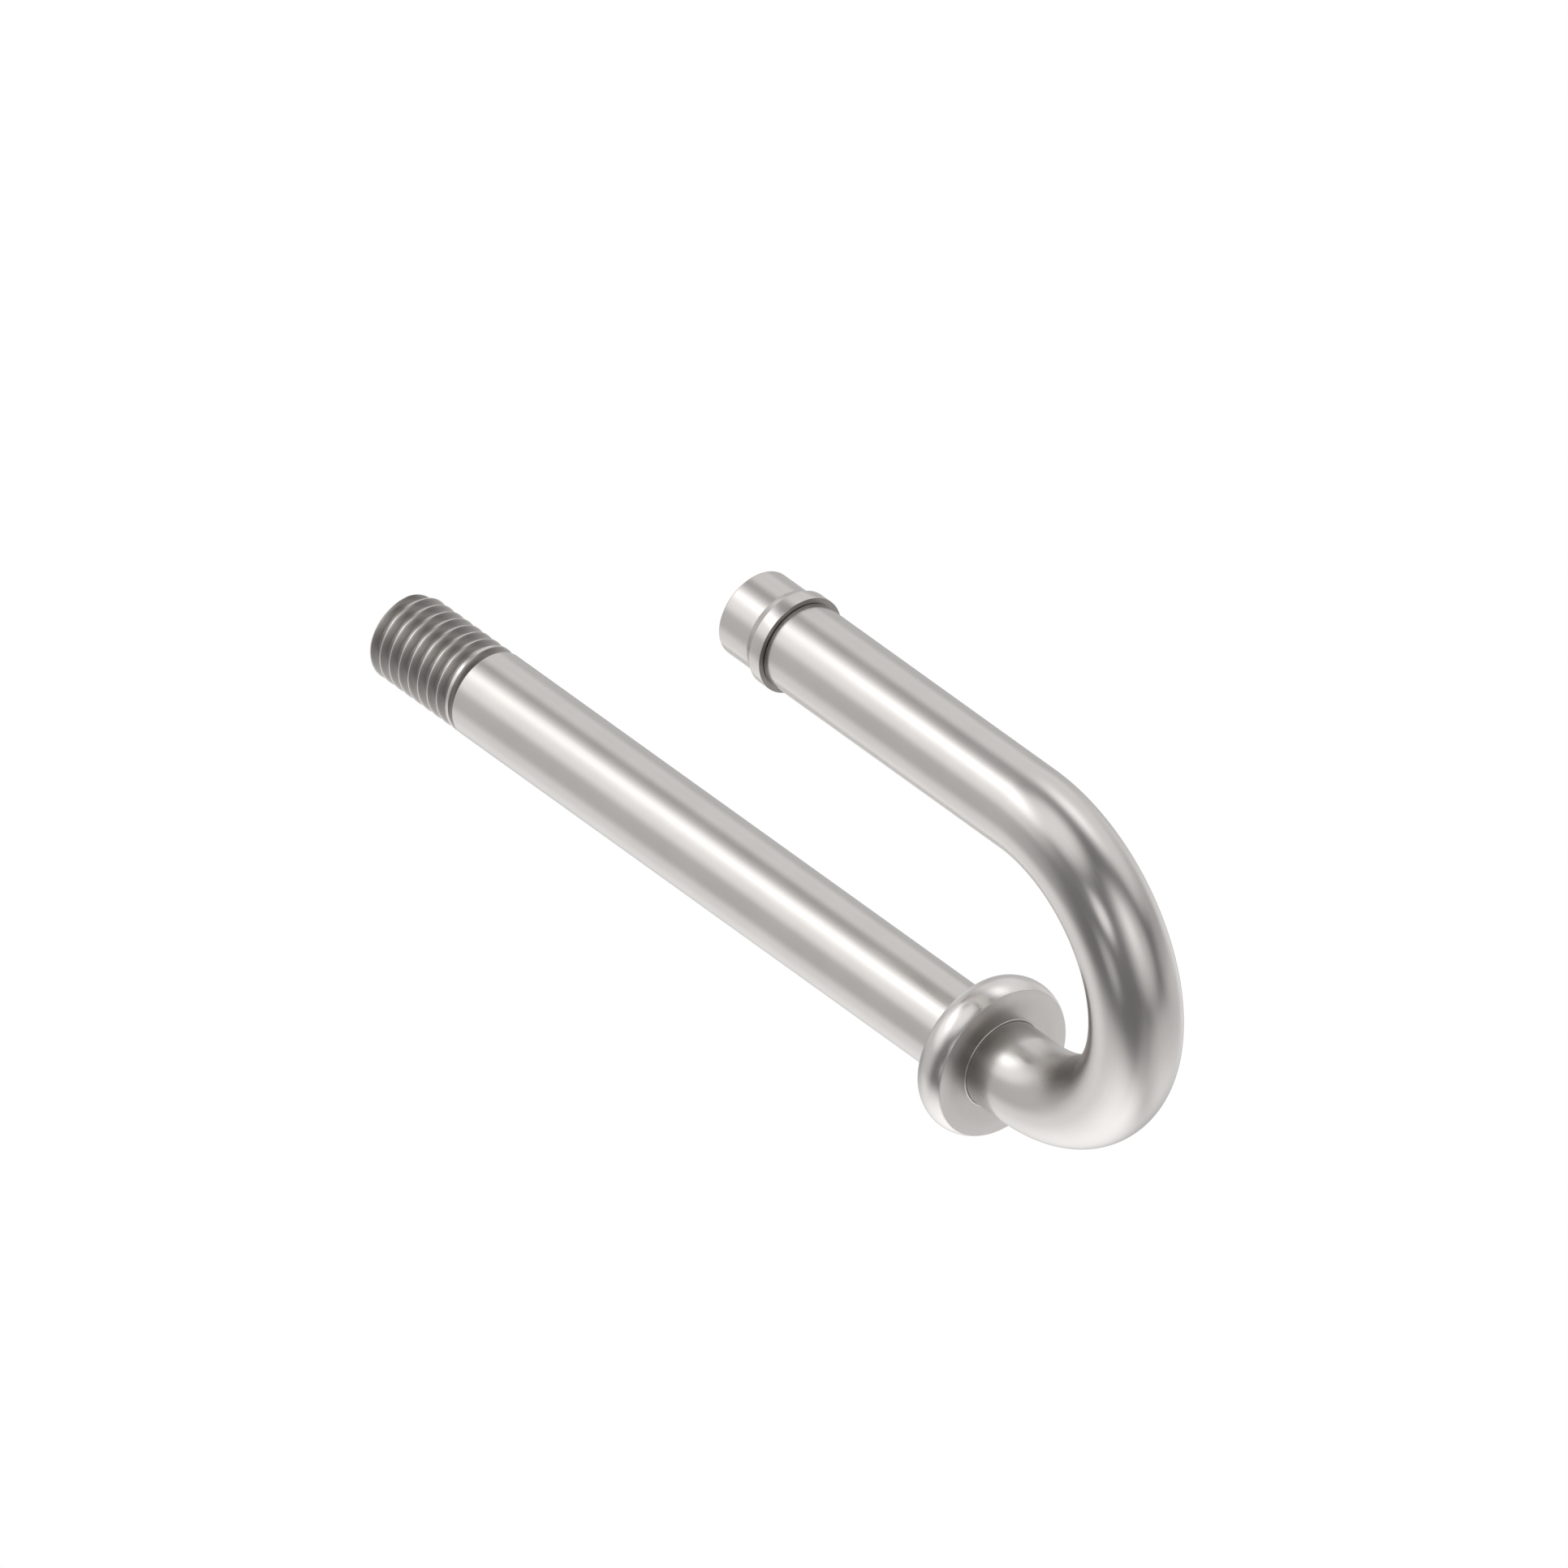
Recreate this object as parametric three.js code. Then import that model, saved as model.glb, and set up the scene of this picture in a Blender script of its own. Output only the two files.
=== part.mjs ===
// Hooked U-bolt: one round bar bent through 180 degrees into a long threaded leg and a short leg.
// A thick stop collar is fixed on the long leg just before the bend, and a barbed retaining sleeve is
// pressed on a spigot at the short leg's end. Nothing on it moves.
// Frame, in millimetres: the origin is on the long leg's axis in the plane of the collar's seat,
// +X runs along the long leg toward the bend, and +Z points from the long leg to the short one.
import * as THREE from 'three';

// Bar and its two legs.
const BAR_DIAMETER = 12.7;
const LEG_SPACING = 45; // between the two legs' axes
const SHANK_LENGTH = 119.3; // from the collar's seat to the threaded end
const SHORT_LEG_LENGTH = 56.6; // from the bend's start to the sleeve's free end

// Thread on the long leg's end: half inch, 13 threads per inch, right hand.
const THREAD_PITCH = 25.4 / 13;
const THREAD_LENGTH = 17.25;
const THREAD_START_TURN = 0.325; // where the first crest leaves the bar's end, from +Y toward +Z
const THREAD_END_CHAMFER = 0.15;
const THREAD_RELIEF = 0.35; // plain groove between the last turn and the full bar
const THREAD_CREST_SHARE = 1 / 8; // flat crest, as a share of the pitch
const THREAD_ROOT_SHARE = 1 / 4; // flat root, as a share of the pitch
const FLANK_ANGLE = Math.PI / 3; // between the two flanks of a groove

// Stop collar.
const COLLAR_DIAMETER = 23.1;
const COLLAR_THICKNESS = 4.6;
const COLLAR_TO_BEND = 5.2; // from the collar's front face to the bend's start
const COLLAR_RIM_RADIUS = 4.25; // of the arc that rounds the rim from one face to the other
const COLLAR_BORE_CHAMFER = 0.25;

// Retaining sleeve on the short leg.
const SLEEVE_LENGTH = 9.4;
const SLEEVE_WALL = 2.0;
const BARB_HEIGHT = 0.75; // how far the barb's band stands proud of the bar
const BARB_BAND_LENGTH = 2.1;
const BARB_CONE_LENGTH = 1.4;
const SLEEVE_END_ROUND = 0.3;
const SPIGOT_CHAMFER = 0.3;

// Clearance that stands for each press fit, on the radius or along the axis.
const FIT_GAP = 0.1;

// Fineness of the faceted solids.
const SIDES = 36;
const ROWS_PER_PITCH = 6;
const BEND_STEPS = 20;
const RIM_STEPS = 8;
const END_ROUND_STEPS = 3;

// Sizes that follow from the ones above.
const BAR_RADIUS = BAR_DIAMETER / 2;
const BEND_RADIUS = LEG_SPACING / 2;
const BEND_START_X = COLLAR_THICKNESS + COLLAR_TO_BEND;
const FLANK_SHARE = (1 - THREAD_CREST_SHARE - THREAD_ROOT_SHARE) / 2;
const THREAD_DEPTH = (FLANK_SHARE * THREAD_PITCH) / Math.tan(FLANK_ANGLE / 2);
const SLEEVE_TIP_RADIUS = BAR_RADIUS; // the tip is flush with the bar
const SLEEVE_BORE_RADIUS = SLEEVE_TIP_RADIUS - SLEEVE_WALL;
const SPIGOT_RADIUS = SLEEVE_BORE_RADIUS - FIT_GAP;

// Lengths along the bar before it is bent, from its threaded end.
const BEND_START = SHANK_LENGTH + BEND_START_X;
const BEND_END = BEND_START + BEND_RADIUS * Math.PI;
const SPIGOT_SHOULDER = BEND_END + SHORT_LEG_LENGTH - SLEEVE_LENGTH - FIT_GAP;
const BAR_END = BEND_END + SHORT_LEG_LENGTH;

const point = (radius, along) => new THREE.Vector2(radius, along);

// A circular arc in a turned profile. Its angles run from the radial direction toward +along.
function arc(centre, radius, fromAngle, toAngle, steps) {
  return Array.from({ length: steps + 1 }, (_, step) => {
    const angle = THREE.MathUtils.lerp(fromAngle, toAngle, step / steps);
    return point(centre.x + radius * Math.cos(angle), centre.y + radius * Math.sin(angle));
  });
}

// A profile turned about the X axis. Its points run from low to high along the outside.
function turned(profile) {
  const geometry = new THREE.LatheGeometry(profile, SIDES);
  geometry.rotateZ(-Math.PI / 2);
  return geometry;
}

// The bar's radius in its threaded stretch, at a length along it and an angle round it. A turn's
// phase is 0 at the middle of a crest and 1 at the middle of the next one.
function threadRadius(along, angle) {
  const turns = along / THREAD_PITCH - angle / (2 * Math.PI) + THREAD_START_TURN;
  const phase = turns - Math.floor(turns);
  const pastCrest = Math.min(phase, 1 - phase) - THREAD_CREST_SHARE / 2;
  const inRelief = along > THREAD_LENGTH - THREAD_RELIEF;
  const groove = inRelief ? 1 : THREE.MathUtils.clamp(pastCrest / FLANK_SHARE, 0, 1);
  const chamferRadius = BAR_RADIUS - Math.max(0, THREAD_END_CHAMFER - along);
  return Math.min(chamferRadius, BAR_RADIUS - THREAD_DEPTH * groove);
}

// Moves a point of the straight bar to its place on the bent one. The straight bar's X is the length
// along it, and Y and Z are measured from its axis.
function bendPoint(spot) {
  if (spot.x <= BEND_START) {
    return spot.setX(spot.x - SHANK_LENGTH);
  }
  const turn = (Math.min(spot.x, BEND_END) - BEND_START) / BEND_RADIUS;
  const past = Math.max(0, spot.x - BEND_END);
  const reach = BEND_RADIUS - spot.z;
  const x = BEND_START_X + reach * Math.sin(turn) + past * Math.cos(turn);
  const z = BEND_RADIUS - reach * Math.cos(turn) + past * Math.sin(turn);
  return spot.set(x, spot.y, z);
}

// The bar is turned straight, threaded, and then bent.
function bentBar() {
  const threadRows = Math.round((THREAD_LENGTH / THREAD_PITCH) * ROWS_PER_PITCH);
  const outline = [point(0, 0)];
  for (let row = 0; row <= threadRows; row += 1) {
    outline.push(point(BAR_RADIUS - THREAD_DEPTH, (THREAD_LENGTH * row) / threadRows));
  }
  outline.push(point(BAR_RADIUS, THREAD_LENGTH));
  for (let step = 0; step <= BEND_STEPS; step += 1) {
    outline.push(point(BAR_RADIUS, THREE.MathUtils.lerp(BEND_START, BEND_END, step / BEND_STEPS)));
  }
  outline.push(
    point(BAR_RADIUS, SPIGOT_SHOULDER),
    point(SPIGOT_RADIUS, SPIGOT_SHOULDER),
    point(SPIGOT_RADIUS, BAR_END - SPIGOT_CHAMFER),
    point(SPIGOT_RADIUS - SPIGOT_CHAMFER, BAR_END),
    point(0, BAR_END),
  );
  const geometry = turned(outline);
  const positions = geometry.attributes.position;
  const spot = new THREE.Vector3();
  for (let index = 0; index < positions.count; index += 1) {
    spot.fromBufferAttribute(positions, index);
    const radius = Math.hypot(spot.y, spot.z);
    const onThread = radius > 0 && radius < BAR_RADIUS - THREAD_DEPTH / 2 && spot.x <= THREAD_LENGTH;
    if (onThread) {
      const stretch = threadRadius(spot.x, Math.atan2(spot.z, spot.y)) / radius;
      spot.set(spot.x, spot.y * stretch, spot.z * stretch);
    }
    bendPoint(spot);
    positions.setXYZ(index, spot.x, spot.y, spot.z);
  }
  return geometry;
}

// The collar stands with its seat at x = 0. One arc rounds its rim from the seat to the front.
function stopCollar() {
  const bore = BAR_RADIUS + FIT_GAP;
  const rimCentre = point(COLLAR_DIAMETER / 2 - COLLAR_RIM_RADIUS, COLLAR_THICKNESS / 2);
  const rimAngle = Math.asin(COLLAR_THICKNESS / 2 / COLLAR_RIM_RADIUS);
  return turned([
    point(bore, COLLAR_THICKNESS - COLLAR_BORE_CHAMFER),
    point(bore, COLLAR_BORE_CHAMFER),
    point(bore + COLLAR_BORE_CHAMFER, 0),
    ...arc(rimCentre, COLLAR_RIM_RADIUS, -rimAngle, rimAngle, RIM_STEPS),
    point(bore + COLLAR_BORE_CHAMFER, COLLAR_THICKNESS),
    point(bore, COLLAR_THICKNESS - COLLAR_BORE_CHAMFER),
  ]);
}

// The sleeve stands with its free end at x = 0 and its barb's step toward +X.
function retainingSleeve() {
  const bandRadius = BAR_RADIUS + BARB_HEIGHT;
  const bandStart = SLEEVE_LENGTH - BARB_BAND_LENGTH;
  const endRoundCentre = point(SLEEVE_TIP_RADIUS - SLEEVE_END_ROUND, SLEEVE_END_ROUND);
  return turned([
    point(SLEEVE_BORE_RADIUS, SLEEVE_LENGTH),
    point(SLEEVE_BORE_RADIUS, 0),
    ...arc(endRoundCentre, SLEEVE_END_ROUND, -Math.PI / 2, 0, END_ROUND_STEPS),
    point(SLEEVE_TIP_RADIUS, bandStart - BARB_CONE_LENGTH),
    point(bandRadius, bandStart),
    point(bandRadius, SLEEVE_LENGTH),
    point(SLEEVE_BORE_RADIUS, SLEEVE_LENGTH),
  ]);
}

const steel = (color, roughness) => new THREE.MeshStandardMaterial({ color, roughness, metalness: 1 });

function piece(name, geometry, material) {
  const mesh = new THREE.Mesh(geometry, material);
  mesh.name = name;
  return mesh;
}

const group = new THREE.Group();
group.add(piece('bent_bar', bentBar(), steel(0xd0cdca, 0.28)));
group.add(piece('stop_collar', stopCollar(), steel(0xcccac7, 0.3)));

const sleeve = piece('retaining_sleeve', retainingSleeve(), steel(0xd2d0cd, 0.26));
sleeve.position.set(BEND_START_X - SHORT_LEG_LENGTH, 0, LEG_SPACING);
group.add(sleeve);

export default group;
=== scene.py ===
import math

import bmesh
import bpy
from mathutils import Matrix, Vector


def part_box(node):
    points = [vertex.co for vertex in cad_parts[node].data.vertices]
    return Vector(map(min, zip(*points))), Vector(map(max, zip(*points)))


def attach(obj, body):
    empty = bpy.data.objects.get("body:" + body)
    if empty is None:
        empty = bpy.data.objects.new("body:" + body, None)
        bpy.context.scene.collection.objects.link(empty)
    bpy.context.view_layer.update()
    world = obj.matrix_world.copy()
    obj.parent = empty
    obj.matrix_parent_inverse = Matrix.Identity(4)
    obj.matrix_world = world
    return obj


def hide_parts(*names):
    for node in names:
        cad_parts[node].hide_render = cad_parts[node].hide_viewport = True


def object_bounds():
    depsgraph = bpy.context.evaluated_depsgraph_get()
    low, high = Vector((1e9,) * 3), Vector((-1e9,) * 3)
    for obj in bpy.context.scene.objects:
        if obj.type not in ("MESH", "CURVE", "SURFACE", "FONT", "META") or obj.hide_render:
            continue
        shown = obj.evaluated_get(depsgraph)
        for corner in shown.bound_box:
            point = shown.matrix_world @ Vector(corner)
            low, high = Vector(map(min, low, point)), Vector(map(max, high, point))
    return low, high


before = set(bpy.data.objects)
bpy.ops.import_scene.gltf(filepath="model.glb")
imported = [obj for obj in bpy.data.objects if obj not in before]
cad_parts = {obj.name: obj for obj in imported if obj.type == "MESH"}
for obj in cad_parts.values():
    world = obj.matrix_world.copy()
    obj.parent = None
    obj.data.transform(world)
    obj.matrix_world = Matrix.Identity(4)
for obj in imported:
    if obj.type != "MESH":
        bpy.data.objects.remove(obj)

MM = 0.001
CAD_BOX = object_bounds()
BAR_LOW, BAR_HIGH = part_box("bent_bar")
COLLAR_LOW, COLLAR_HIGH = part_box("stop_collar")
SLEEVE_LOW, SLEEVE_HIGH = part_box("retaining_sleeve")

# Sizes that the frame gives.
BAR_RADIUS = BAR_HIGH.y
LEG_SPACING = BAR_HIGH.z - BAR_RADIUS
BEND_RADIUS = LEG_SPACING / 2
BEND_START_X = BAR_HIGH.x - BEND_RADIUS - BAR_RADIUS
SHANK_LENGTH = -BAR_LOW.x
COLLAR_THICKNESS = COLLAR_HIGH.x - COLLAR_LOW.x
COLLAR_RADIUS = COLLAR_HIGH.y
SLEEVE_LENGTH = SLEEVE_HIGH.x - SLEEVE_LOW.x
BAND_RADIUS = SLEEVE_HIGH.y

# Thread: half inch, 13 threads per inch, right hand.
THREAD_PITCH = 25.4 * MM / 13
THREAD_LENGTH = 17.25 * MM
THREAD_DEPTH = 1.058 * MM
THREAD_START_TURN = 0.325  # where the first crest leaves the bar's end, in turns from +Y toward +Z
THREAD_RELIEF = 0.35 * MM  # plain groove before the full bar
THREAD_END_CHAMFER = 0.15 * MM
CREST_WIDTH = THREAD_PITCH / 11
CREST_EDGE_RADIUS = 0.04 * MM
RUNOUT_WIDTH = 0.35 * MM  # added to the crest in the last turn
RUNOUT_LENGTH = 0.8 * MM  # along the bar, while the crest grows to that
RUNOUT_MIDDLE = THREAD_LENGTH - THREAD_PITCH - RUNOUT_LENGTH / 4  # along the bar, where it has grown half
FLANK_LEAN = math.pi / 6  # of each flank, away from the plane across the axis

# Collar, sleeve and spigot.
FIT_GAP = 0.1 * MM
PRESSED_GAP = 0.02 * MM  # what still shows of the gap where the collar grips the bar
LIP_RADIUS = 0.13 * MM  # of the burnished bead round the collar's bore
COLLAR_RIM_RADIUS = 4.25 * MM
COLLAR_BORE_CHAMFER = 0.25 * MM
SLEEVE_BORE_RADIUS = 4.35 * MM
SPIGOT_RADIUS = SLEEVE_BORE_RADIUS - FIT_GAP
SPIGOT_CHAMFER = 0.3 * MM
SLEEVE_END_ROUND = 0.3 * MM
BARB_BAND_LENGTH = 2.1 * MM
BARB_CONE_LENGTH = 1.4 * MM
EDGE_RADIUS = 0.08 * MM  # of every machined edge that isn't given one of its own

# Lengths along the bar before it is bent, from its threaded end.
BEND_START = SHANK_LENGTH + BEND_START_X
BEND_END = BEND_START + math.pi * BEND_RADIUS
BAR_END = BEND_END + BEND_START_X - SLEEVE_LOW.x
SPIGOT_SHOULDER = BAR_END - SLEEVE_LENGTH - FIT_GAP

# Fineness of the meshes.
SIDES = 144
BEND_ROWS = 96
RIM_STEPS = 28
FLANK_STEPS = 3
ROUND_STEPS = 4
SHARP_ANGLE = math.radians(29)
FLAT_ANGLE = SHARP_ANGLE / 3  # a corner that turns by less than this isn't rounded
CORNER_SHARE = 0.45  # the most of a straight stretch that the rounding of one of its ends may take
MERGE_DISTANCE = 0.0001 * MM
TURN_TOLERANCE = 1e-9  # in turns of the thread

# The clean steel. A grain is how finely its streaks repeat along the axis and across it, per metre.
STEEL_TONE = (0.84, 0.81, 0.785)
COLLAR_TONE = (0.93, 0.9, 0.875)
BAR_ROUGHNESS = 0.21
SLEEVE_ROUGHNESS = 0.2
DRAWN_GRAIN = (60, 3500, 3500)
TURNED_GRAIN = (3500, 900, 900)
CLOUD_SCALE = 130.0
CLOUD_TONE = 0.95  # of the clean tone, where it is dullest
CLOUD_ROUGHNESS = 0.015  # up or down
STREAK_ROUGHNESS = 0.03  # up or down
STREAK_HEIGHT = 0.0006 * MM
PORE_SCALE = 5200.0
PORE_HEIGHT = 0.0002 * MM

# Painted shade, a dark tone standing in for the shade in the thread, in the corners by the collar and the
# sleeve, and in the crook: its tone, and its share of the tone in each place, from its faintest to its
# darkest side.
PAINTED_SHADE_TONE = (0.24, 0.222, 0.206)
GROOVE_FULL_SHADE_DEPTH = 0.12 * MM  # below the crest, where the thread's painted shade and dullness are full
# Painted shade in the thread's groove.
THREAD_SHADE = (0.36, 0.62)
NECK_SHADE = (0.1, 0.5)  # painted shade on the bar in front of the collar
FACE_SHADE = (0.1, 0.62)  # painted shade on the collar's front
# Painted shade in the crook of the bend.
CROOK_SHADE = 0.75
SHOULDER_SHADE = 0.6  # painted shade on the bar beside the sleeve
STEP_SHADE = 0.62  # painted shade on the barb's step

# Where round the axis the painted shade lies darkest, from +Y toward +Z, and how closely it keeps to that
# side.
THREAD_SHADE_SIDE = math.radians(105)
THREAD_SHADE_NARROWNESS = 3.0
COLLAR_SHADE_SIDE = math.radians(128)
COLLAR_SHADE_NARROWNESS = 2.0

# Dullness: what it adds to the roughness, and its share in each place.
DULL_ROUGHNESS = 0.2
THREAD_DULLNESS = 0.5
NECK_DULLNESS = 0.7
FACE_DULLNESS = 0.8
CROOK_DULLNESS = 0.6

# How far the places with painted shade and dullness reach, and over what length they fade.
NECK_LENGTH = 2.0 * MM
NECK_FADE = 3.4 * MM
FACE_RING_WIDTH = 1.2 * MM
FACE_RING_FADE = 3.2 * MM
FACE_EDGE_FADE = 0.3 * MM

# The crook, dull where the bar lay against the bending former and darkened with painted shade: along the
# bar from the bend's start.
CROOK_MIDDLE = 18 * MM
CROOK_HALF_LENGTH = 2 * MM
CROOK_FADE = 8 * MM

FLOOR_DROP = 0.12  # from the object's lowest point down to the floor
FLOOR_SIZE = 6.0

# The camera looks back along the legs, from above. It is orthographic.
CAMERA_AZIMUTH = math.radians(-39.72)  # of the direction from the object to the camera
CAMERA_ELEVATION = math.radians(36.587)
CAMERA_DISTANCE = 1.0
VIEW_WIDTH = 0.20794
BEND_RIGHT_OF_CENTRE = 0.03232  # where the middle of the bend's start lies in the view
BEND_BELOW_CENTRE = 0.02134


# --- Mesh building ---------------------------------------------------------------------------------

def arc(centre_along, centre_radius, radius, from_angle, to_angle, steps):
    """Points (along, radius) of an arc. Angles run from the radial direction toward +along."""
    angles = [from_angle + (to_angle - from_angle) * step / steps for step in range(steps + 1)]
    return [(centre_along + radius * math.sin(a), centre_radius + radius * math.cos(a)) for a in angles]


def rounded(profile, corner_radius, steps=ROUND_STEPS):
    """The closed or open profile with each corner that turns replaced by a small curve."""
    points = [Vector(p) for p in profile]
    closed = (points[0] - points[-1]).length < MERGE_DISTANCE
    if closed:
        points.pop()
    result = [] if closed else [tuple(points[0])]
    indices = range(len(points)) if closed else range(1, len(points) - 1)
    for index in indices:
        corner = points[index]
        before = points[index - 1] - corner
        after = points[(index + 1) % len(points)] - corner
        opening = before.angle(after)
        if opening > math.pi - FLAT_ANGLE:
            result.append(tuple(corner))
            continue
        longest = CORNER_SHARE * min(before.length, after.length)
        reach = min(corner_radius / math.tan(opening / 2), longest)
        start = corner + before.normalized() * reach
        end = corner + after.normalized() * reach
        for step in range(steps + 1):
            t = step / steps
            bent = start.lerp(corner, t).lerp(corner.lerp(end, t), t)
            result.append(tuple(bent))
    result.append(result[0] if closed else tuple(points[-1]))
    return result


def column_angle(column):
    return 2 * math.pi * column / SIDES


def level_row(along, radius):
    """A row of the skin that lies across the axis."""
    return [(along, radius)] * (SIDES + 1)


def no_groove(along, radius):
    return 0.0


def skin_mesh(rows, place, groove_at):
    """The closed mesh of a skin, with its two attributes."""
    mesh = bmesh.new()
    grain = mesh.verts.layers.float_vector.new("grain")
    groove = mesh.verts.layers.float.new("groove")
    grid = []
    for row in rows:
        line = []
        for column, (along, radius) in enumerate(row):
            angle = column_angle(column % SIDES)
            straight = Vector((along, radius * math.cos(angle), radius * math.sin(angle)))
            vertex = mesh.verts.new(place(straight))
            vertex[grain] = straight
            vertex[groove] = groove_at(along, radius)
            line.append(vertex)
        grid.append(line)
    for low, high in zip(grid, grid[1:]):
        for column in range(SIDES):
            mesh.faces.new((low[column], low[column + 1], high[column + 1], high[column]))
    bmesh.ops.remove_doubles(mesh, verts=mesh.verts, dist=MERGE_DISTANCE)
    bmesh.ops.dissolve_degenerate(mesh, edges=mesh.edges, dist=MERGE_DISTANCE)
    bmesh.ops.recalc_face_normals(mesh, faces=mesh.faces)
    return mesh


def skin(name, rows, place, groove_at=no_groove):
    """An object whose skin lies over rows of (along, radius) points, with one point for each column.

    place maps (along, y, z) beside a straight axis to the object's frame. Two attributes stay on the mesh
    for the materials: grain, the straight position, and groove, how deep in the thread a point lies.
    """
    mesh = skin_mesh(rows, place, groove_at)
    for face in mesh.faces:
        face.smooth = True
    for edge in mesh.edges:
        edge.smooth = edge.calc_face_angle(0) < SHARP_ANGLE
    data = bpy.data.meshes.new(name)
    mesh.to_mesh(data)
    mesh.free()
    piece = bpy.data.objects.new(name, data)
    bpy.context.scene.collection.objects.link(piece)
    return piece


# --- Bent bar --------------------------------------------------------------------------------------

def crest_to_root():
    """The thread's outline from a crest's middle to the next root's, as (distance along, depth)."""
    corner_turn = math.pi / 2 - FLANK_LEAN
    corner_start = CREST_WIDTH / 2 - CREST_EDGE_RADIUS * math.tan(corner_turn / 2)
    root_half = THREAD_PITCH / 2 - CREST_WIDTH / 2 - THREAD_DEPTH * math.tan(FLANK_LEAN)
    root_radius = root_half / math.tan(corner_turn / 2)
    turns = [corner_turn * step / ROUND_STEPS for step in range(ROUND_STEPS + 1)]

    def corner_point(turn):
        return Vector((
            corner_start + CREST_EDGE_RADIUS * math.sin(turn),
            CREST_EDGE_RADIUS * (1 - math.cos(turn)),
        ))

    def root_point(turn):
        return Vector((
            THREAD_PITCH / 2 - root_radius * math.sin(turn),
            THREAD_DEPTH - root_radius * (1 - math.cos(turn)),
        ))

    corner = [corner_point(turn) for turn in turns]
    root = [root_point(turn) for turn in reversed(turns)]
    flank = [corner[-1].lerp(root[0], step / FLANK_STEPS) for step in range(1, FLANK_STEPS)]
    return [Vector((0.0, 0.0)), *corner, *flank, *root]


def depth_beside_crest(outline, distance):
    """The thread's depth at a distance from a crest's middle."""
    for low, high in zip(outline, outline[1:]):
        if distance < high.x:
            return low.y + (high.y - low.y) * max(0.0, distance - low.x) / (high.x - low.x)
    return THREAD_DEPTH


def runout(crest_along):
    """How much wider the crest is, by its place along the bar. It widens in its last turn."""
    grown = (crest_along - RUNOUT_MIDDLE) / RUNOUT_LENGTH + 0.5
    grown = min(max(grown, 0.0), 1.0)
    return RUNOUT_WIDTH * grown * grown * (3 - 2 * grown)


def thread_rows():
    """Rows that follow the helix, cut off square at the bar's end and at the relief groove."""
    outline = crest_to_root()
    groove_start = THREAD_LENGTH - THREAD_RELIEF

    def radius_at(along, crest_along):
        past = max(0.0, along - crest_along - runout(crest_along))
        before = crest_along + THREAD_PITCH - along
        depth = min(depth_beside_crest(outline, past), depth_beside_crest(outline, before))
        return BAR_RADIUS - max(depth, THREAD_END_CHAMFER - along)

    def helix_row(turn, share):
        row = []
        for column in range(SIDES + 1):
            lead = column / SIDES - THREAD_START_TURN
            crest_along = (turn + lead) * THREAD_PITCH
            stretch = runout(crest_along) * max(0.0, 1 - 2 * share) if share > 0 else 0.0
            along = crest_along + share * THREAD_PITCH + stretch
            along = min(max(along, 0.0), groove_start)
            crest_along = (math.floor(along / THREAD_PITCH - lead + TURN_TOLERANCE) + lead) * THREAD_PITCH
            row.append((along, radius_at(along, crest_along)))
        return row

    past_crest = [point.x / THREAD_PITCH for point in outline]
    before_crest = [1 - share for share in reversed(past_crest[1:-1])]
    shares = past_crest + before_crest
    turn_count = math.ceil(groove_start / THREAD_PITCH) + 1
    return [helix_row(turn, share) for turn in range(-1, turn_count) for share in shares]


def bar_rows():
    groove_start = THREAD_LENGTH - THREAD_RELIEF
    root = BAR_RADIUS - THREAD_DEPTH
    shoulder = rounded(
        [
            (groove_start, root),
            (THREAD_LENGTH, root),
            (THREAD_LENGTH, BAR_RADIUS),
            (BEND_START, BAR_RADIUS),
        ],
        EDGE_RADIUS,
    )
    row_length = (BEND_END - BEND_START) / BEND_ROWS
    bend = [(BEND_START + row_length * row, BAR_RADIUS) for row in range(BEND_ROWS + 1)]
    spigot = rounded(
        [
            (BEND_END, BAR_RADIUS),
            (SPIGOT_SHOULDER, BAR_RADIUS),
            (SPIGOT_SHOULDER, SPIGOT_RADIUS),
            (BAR_END - SPIGOT_CHAMFER, SPIGOT_RADIUS),
            (BAR_END, SPIGOT_RADIUS - SPIGOT_CHAMFER),
            (BAR_END, 0.0),
        ],
        EDGE_RADIUS,
    )
    plain = [level_row(along, radius) for along, radius in shoulder + bend + spigot]
    return [level_row(0.0, 0.0)] + thread_rows() + plain


def bend_point(straight):
    """Moves a point of the straight bar to its place on the bent one."""
    along, y, z = straight
    if along <= BEND_START:
        return Vector((along - SHANK_LENGTH, y, z))
    turn = (min(along, BEND_END) - BEND_START) / BEND_RADIUS
    past = max(0.0, along - BEND_END)
    reach = BEND_RADIUS - z
    x = BEND_START_X + reach * math.sin(turn) + past * math.cos(turn)
    return Vector((x, y, BEND_RADIUS - reach * math.cos(turn) + past * math.sin(turn)))


def groove_share(along, radius):
    """How much painted shade and dullness the thread takes at a point: 0 on a crest, 1 from a small depth
    down.
    """
    threaded = 0.0 < along < THREAD_LENGTH
    return min(1.0, (BAR_RADIUS - radius) / GROOVE_FULL_SHADE_DEPTH) if threaded else 0.0


def bent_bar():
    return skin("bar_steel_rod", bar_rows(), bend_point, groove_share)


# --- Turned pieces ---------------------------------------------------------------------------------

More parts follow.
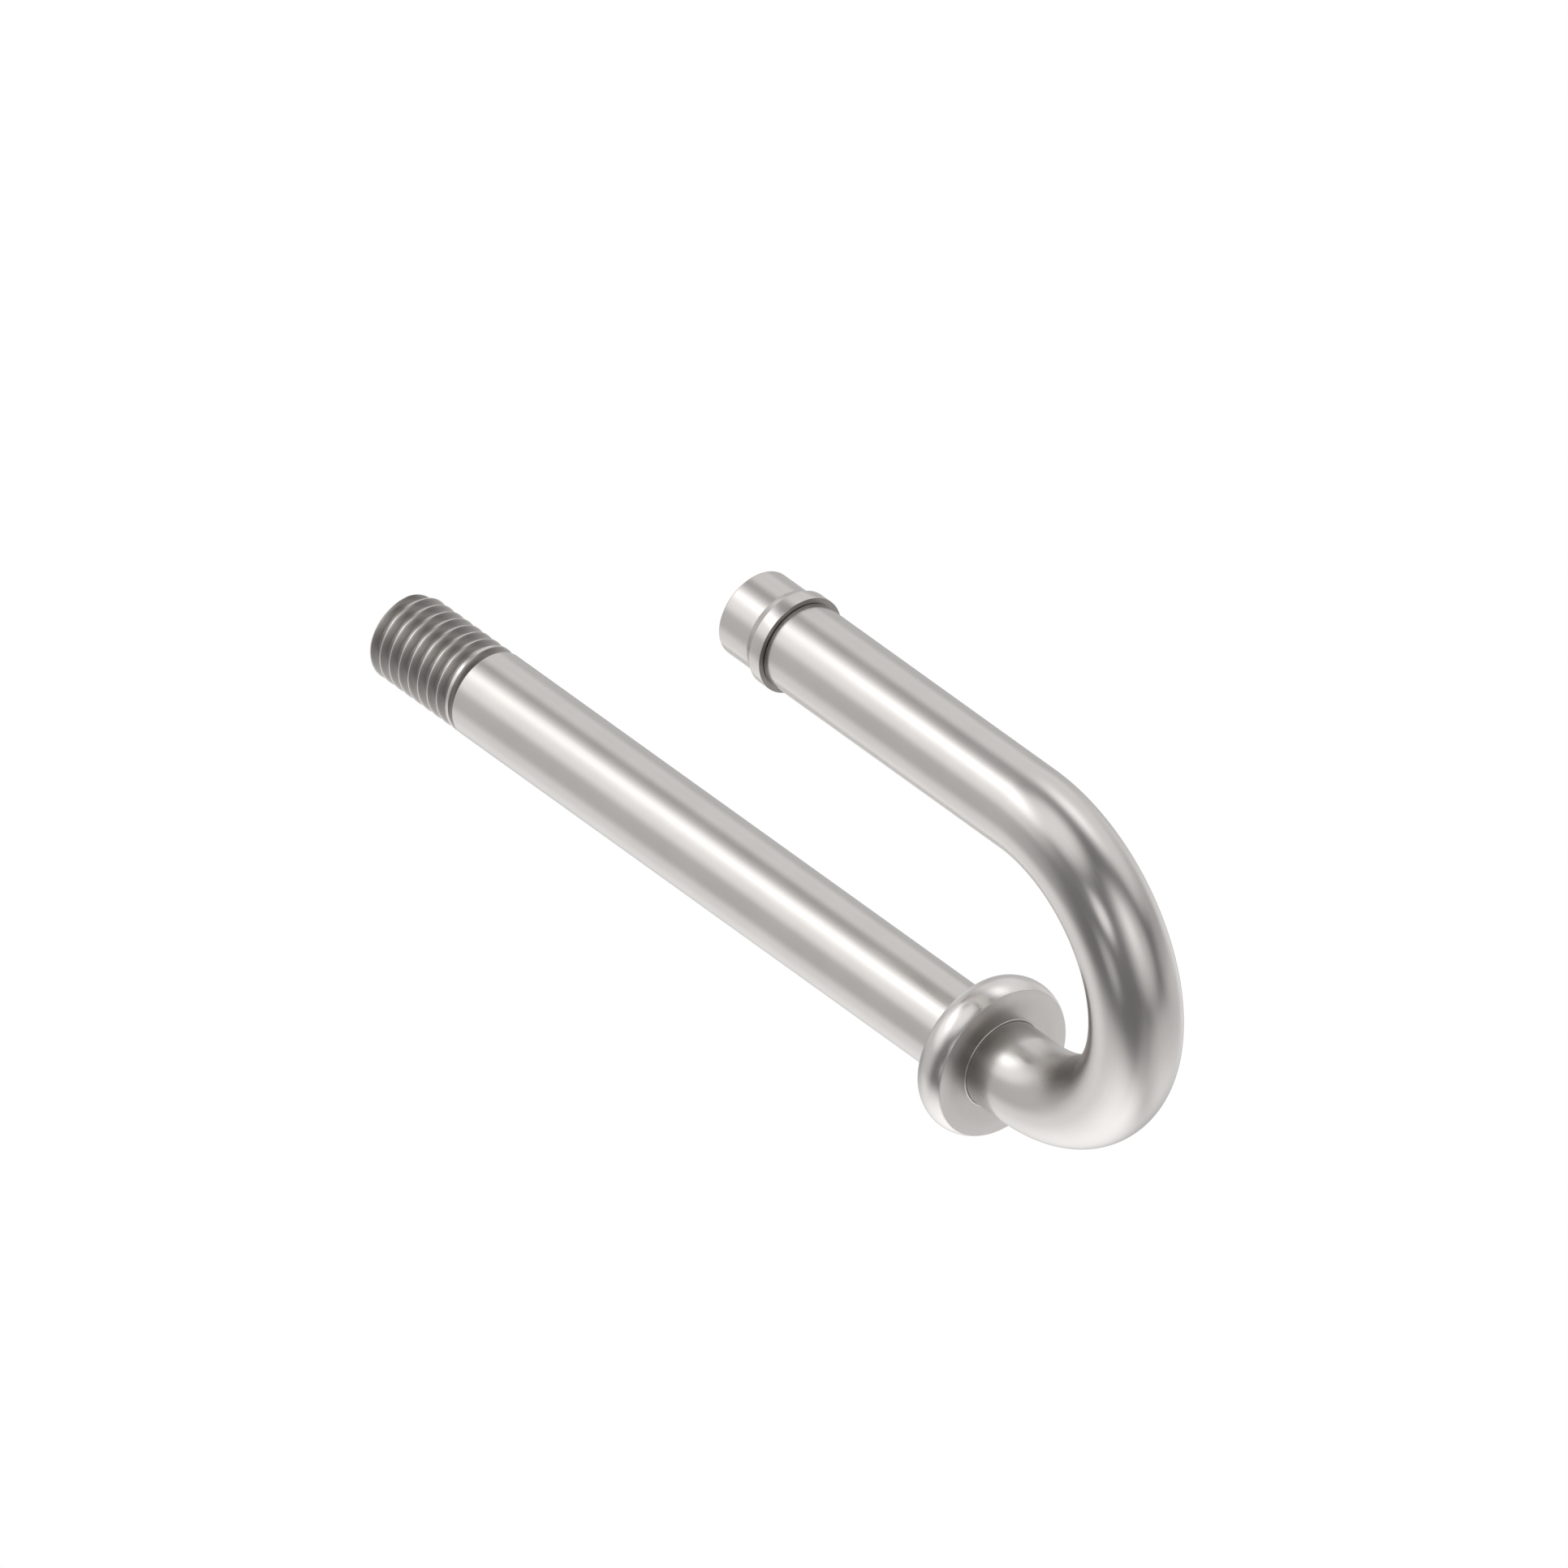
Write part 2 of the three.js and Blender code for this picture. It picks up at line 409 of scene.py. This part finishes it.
def stop_collar():
    """One arc rounds the rim from the seat to the front, and a fine bead edges the bore."""
    bore = BAR_RADIUS + PRESSED_GAP
    middle = COLLAR_THICKNESS / 2
    rim_turn = math.asin(middle / COLLAR_RIM_RADIUS)
    rim_centre = COLLAR_RADIUS - COLLAR_RIM_RADIUS
    rim = arc(middle, rim_centre, COLLAR_RIM_RADIUS, -rim_turn, rim_turn, RIM_STEPS)
    lip = arc(COLLAR_THICKNESS, bore + LIP_RADIUS, LIP_RADIUS, 0, math.pi, 2 * ROUND_STEPS)
    outline = [
        (middle, bore),
        (COLLAR_BORE_CHAMFER, bore),
        (0.0, bore + COLLAR_BORE_CHAMFER),
        *rim,
    ]
    profile = rounded([*outline, lip[0]], EDGE_RADIUS) + [*lip[1:], outline[0]]
    return skin("collar_ring", [level_row(along, radius) for along, radius in profile], Vector)


def retaining_sleeve():
    """The sleeve's free end comes first, then the tip, the cone, the band and the step."""
    band_start = SLEEVE_LENGTH - BARB_BAND_LENGTH
    round_centre = BAR_RADIUS - SLEEVE_END_ROUND
    outline = [
        (SLEEVE_LENGTH / 2, SLEEVE_BORE_RADIUS),
        (0.0, SLEEVE_BORE_RADIUS),
        *arc(SLEEVE_END_ROUND, round_centre, SLEEVE_END_ROUND, -math.pi / 2, 0, 2 * ROUND_STEPS),
        (band_start - BARB_CONE_LENGTH, BAR_RADIUS),
        (band_start, BAND_RADIUS),
        (SLEEVE_LENGTH, BAND_RADIUS),
        (SLEEVE_LENGTH, SLEEVE_BORE_RADIUS),
        (SLEEVE_LENGTH / 2, SLEEVE_BORE_RADIUS),
    ]
    rows = [level_row(along, radius) for along, radius in rounded(outline, EDGE_RADIUS)]
    free_end = Vector((SLEEVE_LOW.x, 0.0, LEG_SPACING))
    return skin("sleeve_ring", rows, lambda straight: straight + free_end)


# --- Materials -------------------------------------------------------------------------------------

class Shader:
    """A material's node tree, with short calls for the nodes that the steels share."""

    def __init__(self, name):
        self.material = bpy.data.materials.new(name)
        self.material.use_nodes = True
        self.tree = self.material.node_tree
        self.surface = self.tree.nodes["Principled BSDF"]

    def node(self, kind, **settings):
        made = self.tree.nodes.new(kind)
        for key, value in settings.items():
            setattr(made, key, value)
        return made

    def link(self, source, target):
        self.tree.links.new(source, target)

    def grain(self, scale):
        """The position beside the straight axis, scaled: a small share along a direction stretches it."""
        attribute = self.node("ShaderNodeAttribute", attribute_name="grain")
        scaled = self.node("ShaderNodeVectorMath", operation="MULTIPLY")
        scaled.inputs[1].default_value = scale
        self.link(attribute.outputs["Vector"], scaled.inputs[0])
        return scaled.outputs["Vector"]

    def noise(self, vector, scale, detail, roughness=0.55):
        made = self.node("ShaderNodeTexNoise")
        made.inputs["Scale"].default_value = scale
        made.inputs["Detail"].default_value = detail
        made.inputs["Roughness"].default_value = roughness
        self.link(vector, made.inputs["Vector"])
        return made.outputs["Fac"]

    def spread(self, value, low, high, from_low=0.3, from_high=0.7):
        """Maps a value from one range to another. A noise value mostly lies in the range given here."""
        made = self.node("ShaderNodeMapRange")
        made.inputs["From Min"].default_value = from_low
        made.inputs["From Max"].default_value = from_high
        made.inputs["To Min"].default_value = low
        made.inputs["To Max"].default_value = high
        self.link(value, made.inputs["Value"])
        return made.outputs["Result"]

    def math(self, operation, first, second):
        made = self.node("ShaderNodeMath", operation=operation)
        for socket, value in zip(made.inputs, (first, second)):
            if isinstance(value, float):
                socket.default_value = value
            else:
                self.link(value, socket)
        return made.outputs["Value"]

    def add(self, first, second):
        return self.math("ADD", first, second)

    def product(self, first, second):
        return self.math("MULTIPLY", first, second)

    def largest(self, first, *others):
        for other in others:
            first = self.math("MAXIMUM", first, other)
        return first

    def grain_part(self, axis):
        parts = self.node("ShaderNodeSeparateXYZ")
        self.link(self.grain((1, 1, 1)), parts.inputs["Vector"])
        return parts.outputs[axis]

    def along(self):
        """The length along the straight axis."""
        return self.grain_part("X")

    def inward(self):
        """How far a point of the bar lies toward the inside of the bend."""
        return self.grain_part("Z")

    def radius(self):
        """The distance from the straight axis."""
        length = self.node("ShaderNodeVectorMath", operation="LENGTH")
        self.link(self.grain((0, 1, 1)), length.inputs[0])
        return length.outputs["Value"]

    def side(self, angle, narrowness):
        """1 at an angle round the straight axis, falling to 0 a quarter turn away from it."""
        radial = self.node("ShaderNodeVectorMath", operation="NORMALIZE")
        self.link(self.grain((0, 1, 1)), radial.inputs[0])
        facing = self.node("ShaderNodeVectorMath", operation="DOT_PRODUCT")
        facing.inputs[1].default_value = (0, math.cos(angle), math.sin(angle))
        self.link(radial.outputs["Vector"], facing.inputs[0])
        return self.math("POWER", self.math("MAXIMUM", facing.outputs["Value"], 0.0), narrowness)

    def near(self, value, middle, half_width, fade):
        """1 within half_width of the middle, falling smoothly to 0 over the fade beyond that."""
        offset = self.math("ABSOLUTE", self.math("SUBTRACT", value, middle), 0.0)
        made = self.node("ShaderNodeMapRange", interpolation_type="SMOOTHERSTEP")
        made.inputs["From Min"].default_value = half_width
        made.inputs["From Max"].default_value = half_width + fade
        made.inputs["To Min"].default_value = 1.0
        made.inputs["To Max"].default_value = 0.0
        self.link(offset, made.inputs["Value"])
        return made.outputs["Result"]

    def blend(self, factor, first, second):
        """A colour between the first one, which is a socket, and the second."""
        made = self.node("ShaderNodeMix", data_type="RGBA")
        self.link(factor, made.inputs["Factor"])
        self.link(first, made.inputs[6])
        made.inputs[7].default_value = (*second, 1)
        return made.outputs[2]

    def colours(self, factor, dark, light):
        made = self.node("ShaderNodeValToRGB")
        made.color_ramp.elements[0].color = (*dark, 1)
        made.color_ramp.elements[1].color = (*light, 1)
        self.link(factor, made.inputs["Fac"])
        return made.outputs["Color"]

    def bump(self, height, distance, below=None):
        made = self.node("ShaderNodeBump")
        made.inputs["Strength"].default_value = 1.0
        made.inputs["Distance"].default_value = distance
        self.link(height, made.inputs["Height"])
        if below is not None:
            self.link(below, made.inputs["Normal"])
        return made.outputs["Normal"]


def satin_steel(name, stretch, tone, roughness, shade_and_wear):
    """Drawn or turned steel with a satin finish: streaks along the grain, cloudy tone, fine pores.

    The function passed in takes the shader and returns two shares, of painted shade and of dullness at a
    point.
    """
    shader = Shader(name)
    surface = shader.surface
    surface.inputs["Metallic"].default_value = 1.0
    streaks = shader.noise(shader.grain(stretch), 1.0, 4.0)
    clouds = shader.noise(shader.grain((1, 1, 1)), CLOUD_SCALE, 3.0)
    pores = shader.noise(shader.grain((1, 1, 1)), PORE_SCALE, 2.0)
    painted_shade, dull = shade_and_wear(shader)
    dull_tone = tuple(channel * CLOUD_TONE for channel in tone)
    clean = shader.colours(shader.spread(clouds, 0.0, 1.0), dull_tone, tone)
    # Painted shade: the clean tone is darkened toward the shade tone by the painted shade share.
    shader.link(shader.blend(painted_shade, clean, PAINTED_SHADE_TONE), surface.inputs["Base Color"])
    polish = shader.add(
        shader.spread(streaks, roughness - STREAK_ROUGHNESS, roughness + STREAK_ROUGHNESS),
        shader.spread(clouds, -CLOUD_ROUGHNESS, CLOUD_ROUGHNESS),
    )
    dullness = shader.product(dull, DULL_ROUGHNESS)
    shader.link(shader.add(polish, dullness), surface.inputs["Roughness"])
    fine = shader.bump(pores, PORE_HEIGHT)
    shader.link(shader.bump(streaks, STREAK_HEIGHT, fine), surface.inputs["Normal"])
    return shader.material


def bar_steel():
    """Painted shade and dullness in the thread, by the collar and in the crook, and painted shade by the
    sleeve.
    """
    def shade_and_wear(shader):
        along = shader.along()
        groove = shader.node("ShaderNodeAttribute", attribute_name="groove").outputs["Fac"]
        by_collar = shader.near(along, SHANK_LENGTH + COLLAR_THICKNESS, NECK_LENGTH, NECK_FADE)
        by_sleeve = shader.near(along, SPIGOT_SHOULDER, 0.0, EDGE_RADIUS)
        in_crook = shader.product(
            shader.near(along, BEND_START + CROOK_MIDDLE, CROOK_HALF_LENGTH, CROOK_FADE),
            shader.spread(shader.inward(), 0.0, 1.0, BAR_RADIUS / 4, BAR_RADIUS * 0.8),
        )
        thread_side = shader.side(THREAD_SHADE_SIDE, THREAD_SHADE_NARROWNESS)
        neck_side = shader.side(COLLAR_SHADE_SIDE, COLLAR_SHADE_NARROWNESS)
        painted_shade = shader.largest(
            shader.product(groove, shader.spread(thread_side, *THREAD_SHADE, 0.0, 1.0)),
            shader.product(by_collar, shader.spread(neck_side, *NECK_SHADE, 0.0, 1.0)),
            shader.product(by_sleeve, SHOULDER_SHADE),
            shader.product(in_crook, CROOK_SHADE),
        )
        dullness = shader.largest(
            shader.product(groove, THREAD_DULLNESS),
            shader.product(by_collar, NECK_DULLNESS),
            shader.product(in_crook, CROOK_DULLNESS),
        )
        return painted_shade, dullness

    return satin_steel("bar_satin_steel", DRAWN_GRAIN, STEEL_TONE, BAR_ROUGHNESS, shade_and_wear)


def collar_steel():
    """The turned front face is duller than the polished rim, and darkened round the bar with painted
    shade, most on one side.
    """
    def shade_and_wear(shader):
        along = shader.along()
        below_bead = shader.math("LESS_THAN", along, COLLAR_THICKNESS + LIP_RADIUS / 4)
        on_front = shader.near(along, COLLAR_THICKNESS, 0.0, FACE_EDGE_FADE)
        on_face = shader.product(on_front, below_bead)
        round_bar = shader.near(shader.radius(), BAR_RADIUS, FACE_RING_WIDTH, FACE_RING_FADE)
        face_side = shader.side(COLLAR_SHADE_SIDE, COLLAR_SHADE_NARROWNESS)
        ring = shader.product(round_bar, shader.spread(face_side, *FACE_SHADE, 0.0, 1.0))
        return shader.product(ring, on_face), shader.product(on_face, FACE_DULLNESS)

    return satin_steel("collar_satin_steel", TURNED_GRAIN, COLLAR_TONE, BAR_ROUGHNESS, shade_and_wear)


def sleeve_steel():
    """Painted shade darkens the whole of the barb's step round the bar."""
    def shade_and_wear(shader):
        on_step = shader.near(shader.along(), SLEEVE_LENGTH, EDGE_RADIUS / 4, EDGE_RADIUS / 4)
        return shader.product(on_step, STEP_SHADE), on_step

    return satin_steel("sleeve_satin_steel", TURNED_GRAIN, STEEL_TONE, SLEEVE_ROUGHNESS, shade_and_wear)


def floor_light():
    """The floor glows evenly, like a light table, so no shadow shows on it."""
    material = bpy.data.materials.new("pale_floor")
    material.use_nodes = True
    tree = material.node_tree
    tree.nodes.clear()
    glow = tree.nodes.new("ShaderNodeEmission")
    glow.inputs["Color"].default_value = (1, 1, 1, 1)
    output = tree.nodes.new("ShaderNodeOutputMaterial")
    tree.links.new(glow.outputs["Emission"], output.inputs["Surface"])
    return material


# --- Studio ----------------------------------------------------------------------------------------

def direction(azimuth, elevation):
    return Vector((
        math.cos(elevation) * math.cos(azimuth),
        math.cos(elevation) * math.sin(azimuth),
        math.sin(elevation),
    ))


# Soft boxes: azimuth and elevation of the middle, half width and half height in degrees, brightness, and
# how steeply the light falls off at the edge (1 is a soft glow, 2 has a visible edge).
SOFT_BOXES = [
    (-140, 30, 35, 17, 0.40, 2),  # key panel on the left
    (-150, 45, 20, 8, 0.95, 1),  # hot strip along its upper edge
    (-140, 5, 30, 40, 0.35, 2),  # its spill down the wall
    (-105, 65, 25, 25, 0.65, 2),  # ceiling panel over the left
    (-55, 25, 10, 10, 0.85, 2),  # small lamp beside the camera
    (-70, -5, 10, 10, 0.30, 2),  # its dimmer twin below
    (5, 20, 25, 30, 0.40, 2),  # box in front of the bend
    (0, 30, 10, 15, 0.40, 1),  # its hot middle
    (105, 35, 45, 25, 0.55, 2),  # wide panel on the right
    (100, 60, 20, 10, 0.70, 1),  # hot strip along its upper edge
    (80, -5, 35, 15, 0.25, 2),  # its spill down the wall
    (130, -15, 35, 30, 0.35, 2),  # low panel behind, on the right
    (175, 0, 20, 25, 0.30, 2),  # panel behind the legs
    (165, 30, 15, 40, 0.15, 2),  # its upper half, which fades upward
    (-135, -65, 45, 35, 0.55, 2),  # pale table below, brighter on the left
    (60, -40, 50, 25, 0.40, 2),  # table's far edge on the right
    (-75, -90, 35, 40, 0.45, 1),  # middle of the table
    (-15, -50, 15, 30, 0.15, 2),  # small card under the bend
]
ROOM_LIGHT = 0.165
BOX_FALLOFF = -0.7  # a box has half its brightness, exp(-0.7), at its half width or half height
FACING_LIMIT = 0.001  # keeps a box from lighting what lies behind it


def studio():
    world = bpy.data.worlds.new("studio")
    bpy.context.scene.world = world
    world.use_nodes = True
    tree = world.node_tree
    tree.nodes.clear()

    def math_node(operation, first, second=None):
        made = tree.nodes.new("ShaderNodeMath")
        made.operation = operation
        for socket, value in zip(made.inputs, (first, second)):
            if value is None:
                continue
            if isinstance(value, (int, float)):
                socket.default_value = value
            else:
                tree.links.new(value, socket)
        return made.outputs["Value"]

    def dot(first, vector):
        made = tree.nodes.new("ShaderNodeVectorMath")
        made.operation = "DOT_PRODUCT"
        tree.links.new(first, made.inputs[0])
        made.inputs[1].default_value = vector
        return made.outputs["Value"]

    looking = tree.nodes.new("ShaderNodeTexCoord").outputs["Generated"]

    def soft_box(azimuth, elevation, half_width, half_height, brightness, edge):
        turn = math.radians(azimuth)
        middle = direction(turn, math.radians(elevation))
        sideways = Vector((-math.sin(turn), math.cos(turn), 0.0))
        upward = middle.cross(sideways)
        facing = math_node("MAXIMUM", dot(looking, middle), FACING_LIMIT)
        across = math_node("DIVIDE", dot(looking, sideways / math.tan(math.radians(half_width))), facing)
        up = math_node("DIVIDE", dot(looking, upward / math.tan(math.radians(half_height))), facing)
        spread = math_node("ADD", math_node("POWER", across, 2), math_node("POWER", up, 2))
        falloff = math_node("MULTIPLY", math_node("POWER", spread, edge), BOX_FALLOFF)
        return math_node("MULTIPLY", math_node("EXPONENT", falloff), brightness)

    total = ROOM_LIGHT
    for box in SOFT_BOXES:
        total = math_node("ADD", total, soft_box(*box))

    seen = tree.nodes.new("ShaderNodeLightPath")
    backdrop = tree.nodes.new("ShaderNodeMix")
    tree.links.new(seen.outputs["Is Camera Ray"], backdrop.inputs["Factor"])
    tree.links.new(total, backdrop.inputs["A"])
    backdrop.inputs["B"].default_value = 1.0
    background = tree.nodes.new("ShaderNodeBackground")
    tree.links.new(backdrop.outputs["Result"], background.inputs["Color"])
    output = tree.nodes.new("ShaderNodeOutputWorld")
    tree.links.new(background.outputs["Background"], output.inputs["Surface"])


def pale_floor():
    """A plain floor well below the object. It isn't seen in the steel."""
    data = bpy.data.meshes.new("floor")
    half = FLOOR_SIZE / 2
    level = CAD_BOX[0].z - FLOOR_DROP
    corners = [(-half, -half, level), (half, -half, level), (half, half, level), (-half, half, level)]
    data.from_pydata(corners, [], [(0, 1, 2, 3)])
    data.materials.append(floor_light())
    floor = bpy.data.objects.new("floor", data)
    floor.visible_glossy = False
    bpy.context.scene.collection.objects.link(floor)


def camera():
    data = bpy.data.cameras.new("camera")
    data.type = "ORTHO"
    data.ortho_scale = VIEW_WIDTH
    eye = bpy.data.objects.new("camera", data)
    bpy.context.scene.collection.objects.link(eye)
    back = direction(CAMERA_AZIMUTH, CAMERA_ELEVATION)
    right = Vector((-math.sin(CAMERA_AZIMUTH), math.cos(CAMERA_AZIMUTH), 0.0))
    up = back.cross(right)
    bend_middle = Vector((BEND_START_X, 0.0, BEND_RADIUS))
    centre = bend_middle - right * BEND_RIGHT_OF_CENTRE + up * BEND_BELOW_CENTRE
    turned = Matrix((right, up, back)).transposed().to_4x4()
    eye.matrix_world = Matrix.Translation(centre + back * CAMERA_DISTANCE) @ turned
    bpy.context.scene.camera = eye


# --- Assembly --------------------------------------------------------------------------------------

def fit(piece, node, material):
    """The piece stands for its CAD node, which is hidden, and takes the material given."""
    piece.data.materials.append(material)
    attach(piece, "root")
    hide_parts(node)


camera()
studio()
pale_floor()
bpy.context.scene.view_settings.view_transform = "Standard"
fit(bent_bar(), "bent_bar", bar_steel())
fit(stop_collar(), "stop_collar", collar_steel())
fit(retaining_sleeve(), "retaining_sleeve", sleeve_steel())
